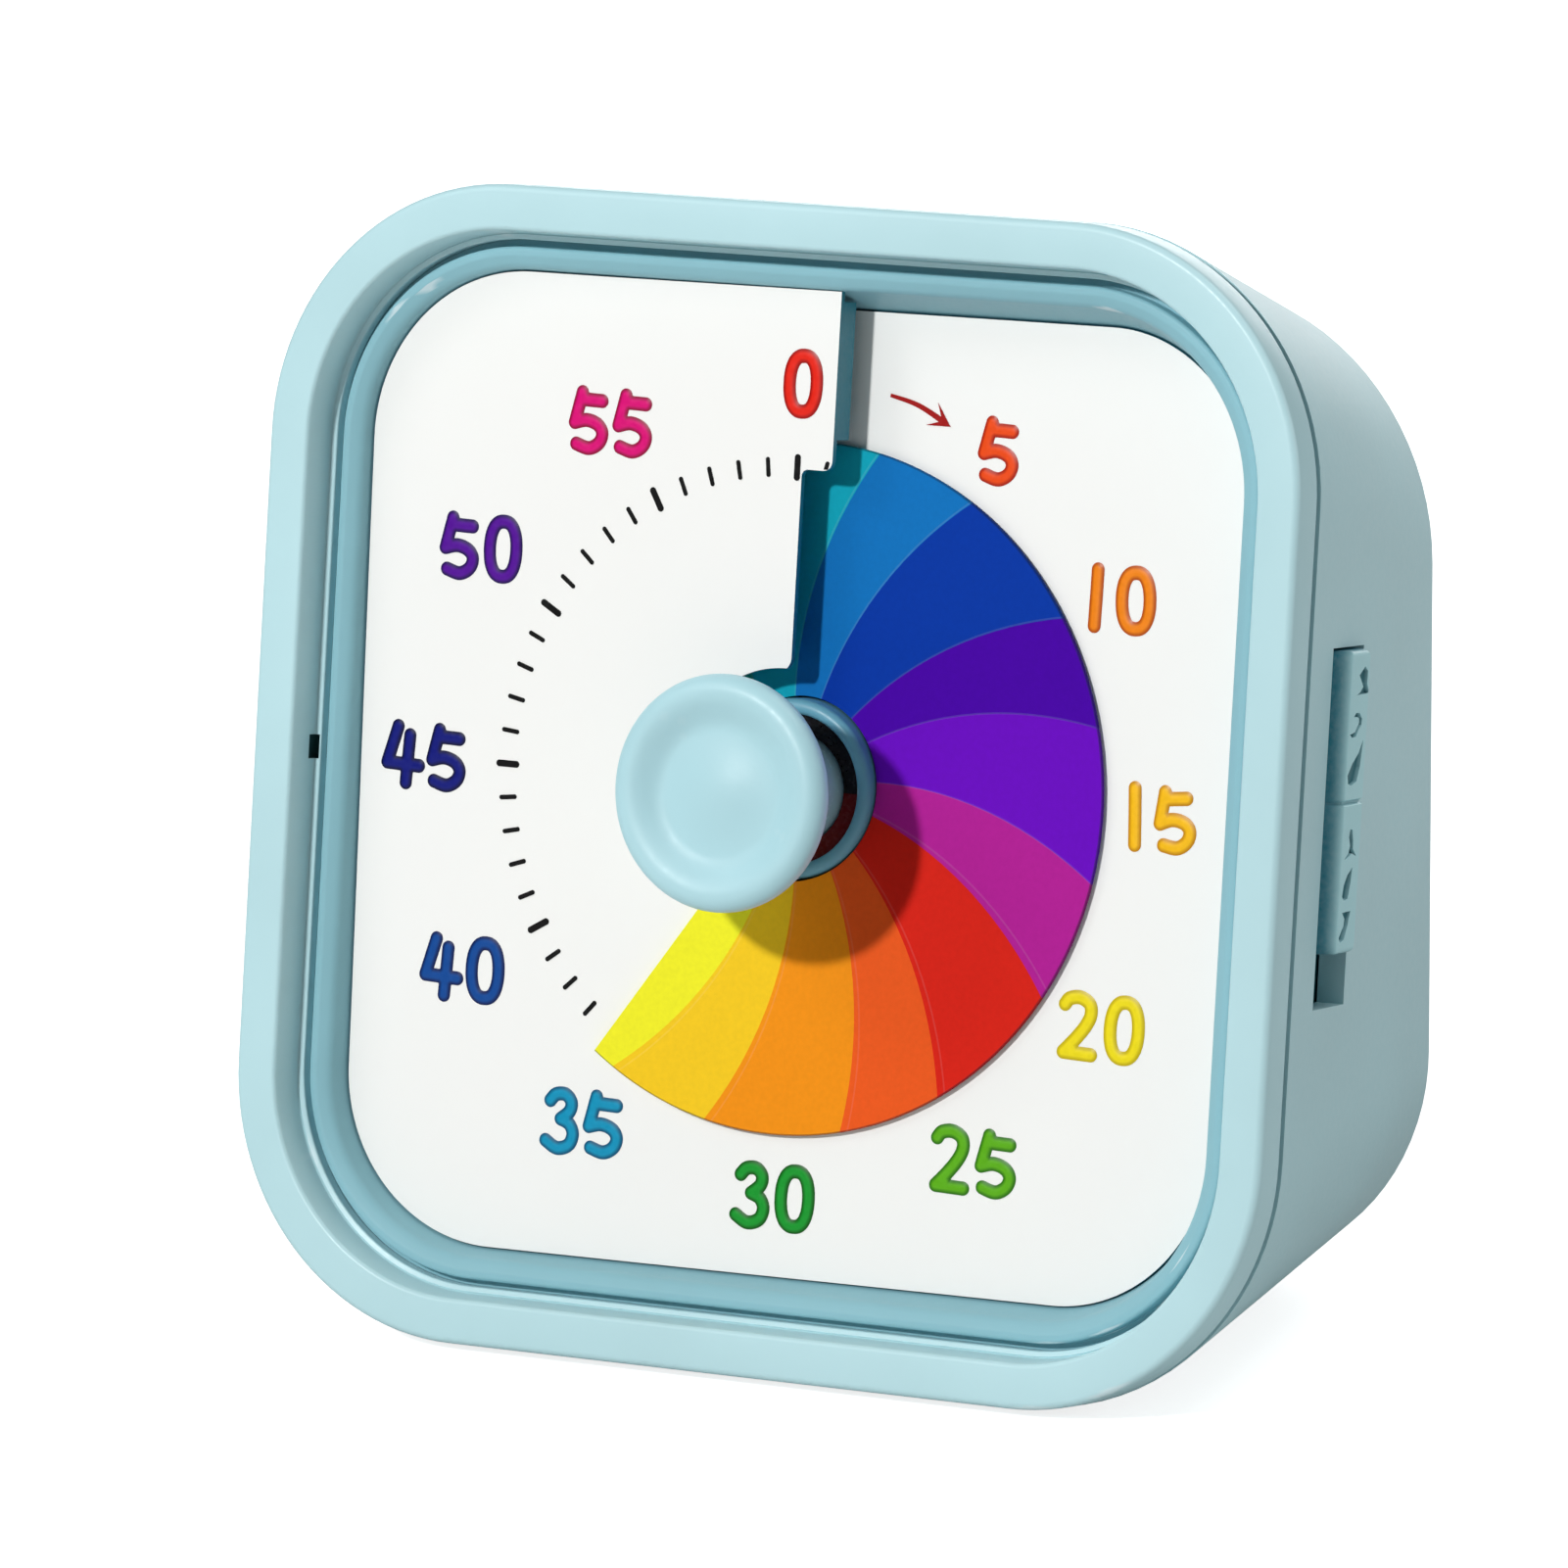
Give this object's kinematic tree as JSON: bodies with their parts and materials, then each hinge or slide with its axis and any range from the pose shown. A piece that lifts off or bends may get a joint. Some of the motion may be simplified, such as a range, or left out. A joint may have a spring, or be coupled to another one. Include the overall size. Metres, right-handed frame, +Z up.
{
  "type": "visual countdown timer",
  "caption": "Visual countdown timer: leaning rounded-square case, helical dial with a coloured disc that winds through a slit, turning knob, volume slider and battery bay",
  "frame": {"origin": "centre of the footprint box at the level of the table", "axes": "X to the timer's right as seen from the front, Y from the front to the back, Z up"},
  "size_m": [0.084, 0.044, 0.0833],
  "materials": {
    "face_plastic": "moulded, fine satin",
    "ring_plastic": "moulded, fine satin",
    "shell_plastic": "moulded, fine texture",
    "dial_plastic": "moulded, fine satin",
    "card": "smooth printed card",
    "knob_plastic": "moulded, satin",
    "collar_plastic": "moulded, satin",
    "disc_sheet": "printed sheet, satin",
    "slider_plastic": "moulded, satin",
    "lid_plastic": "moulded, fine texture",
    "pad_rubber": "soft, matt",
    "steel": "bright drawn",
    "screw_steel": "zinc plated",
    "gear_plastic": "moulded",
    "magnet": "sintered",
    "black_plastic": "moulded",
    "copper_wire": "enamelled winding",
    "board": "solder mask",
    "cell_jacket": "smooth jacket"
  },
  "bodies": {
    "housing": {"front_frame": "face_plastic", "inner_ring": "ring_plastic", "dial_plate": "dial_plastic", "dial_card": "card", "rear_shell": "shell_plastic", "movement_front": "black_plastic", "movement_back": "black_plastic", "drive_coil": "copper_wire", "stator": "steel", "circuit_board": "board", "buzzer": "black_plastic", "slide_switch": "black_plastic", "battery_cell": "cell_jacket", "contact_spring": "steel", "contact_plate": "steel", "case_screw_1": "screw_steel", "case_screw_2": "screw_steel", "case_screw_3": "screw_steel", "case_screw_4": "screw_steel", "movement_screw_1": "screw_steel", "movement_screw_2": "screw_steel", "foot_pad_1": "pad_rubber", "foot_pad_2": "pad_rubber", "foot_pad_3": "pad_rubber", "foot_pad_4": "pad_rubber"},
    "knob": {"knob": "knob_plastic", "spindle": "steel", "output_wheel": "gear_plastic"},
    "disc": {"rainbow_disc": "disc_sheet", "disc_collar": "collar_plastic"},
    "intermediate_gear": {"intermediate_wheel": "gear_plastic", "intermediate_arbor": "steel"},
    "rotor": {"rotor_magnet": "magnet", "rotor_arbor": "steel"},
    "slider": {"volume_slider": "slider_plastic"},
    "lid": {"battery_lid": "lid_plastic"}
  },
  "joints": [
    {"name": "knob_turn", "type": "hinge", "parent": "housing", "child": "knob", "pos_m": [0, -0.01455, 0.04209], "axis": [0, 0.9836, -0.1805], "range_deg": [-216, 144]},
    {"name": "disc_wind", "type": "slide", "parent": "knob", "child": "disc", "axis": [0, -0.9836, 0.1805], "range_m": [-0.00224, 0.00149]},
    {"name": "intermediate_spin", "type": "hinge", "parent": "housing", "child": "intermediate_gear", "pos_m": [-0.00679, -0.01577, 0.03542], "axis": [0, 0.9836, -0.1805], "range_deg": [-720, 1080]},
    {"name": "rotor_spin", "type": "hinge", "parent": "housing", "child": "rotor", "pos_m": [-0.01082, -0.0165, 0.03145], "axis": [0, 0.9836, -0.1805], "range_deg": [-4050, 2700]},
    {"name": "volume_slide", "type": "slide", "parent": "housing", "child": "slider", "axis": [0, -0.1805, -0.9836], "range_m": [0, 0.0037]},
    {"name": "lid_pull", "type": "slide", "parent": "housing", "child": "lid", "axis": [0, 1, 0], "range_m": [0, 0.015]}
  ],
  "couplings": [
    {"joint": "knob_turn", "follows": "disc_wind", "rad_per_m": 1684.5},
    {"joint": "intermediate_spin", "follows": "disc_wind", "rad_per_m": -8422.5},
    {"joint": "rotor_spin", "follows": "disc_wind", "rad_per_m": 31584}
  ]
}
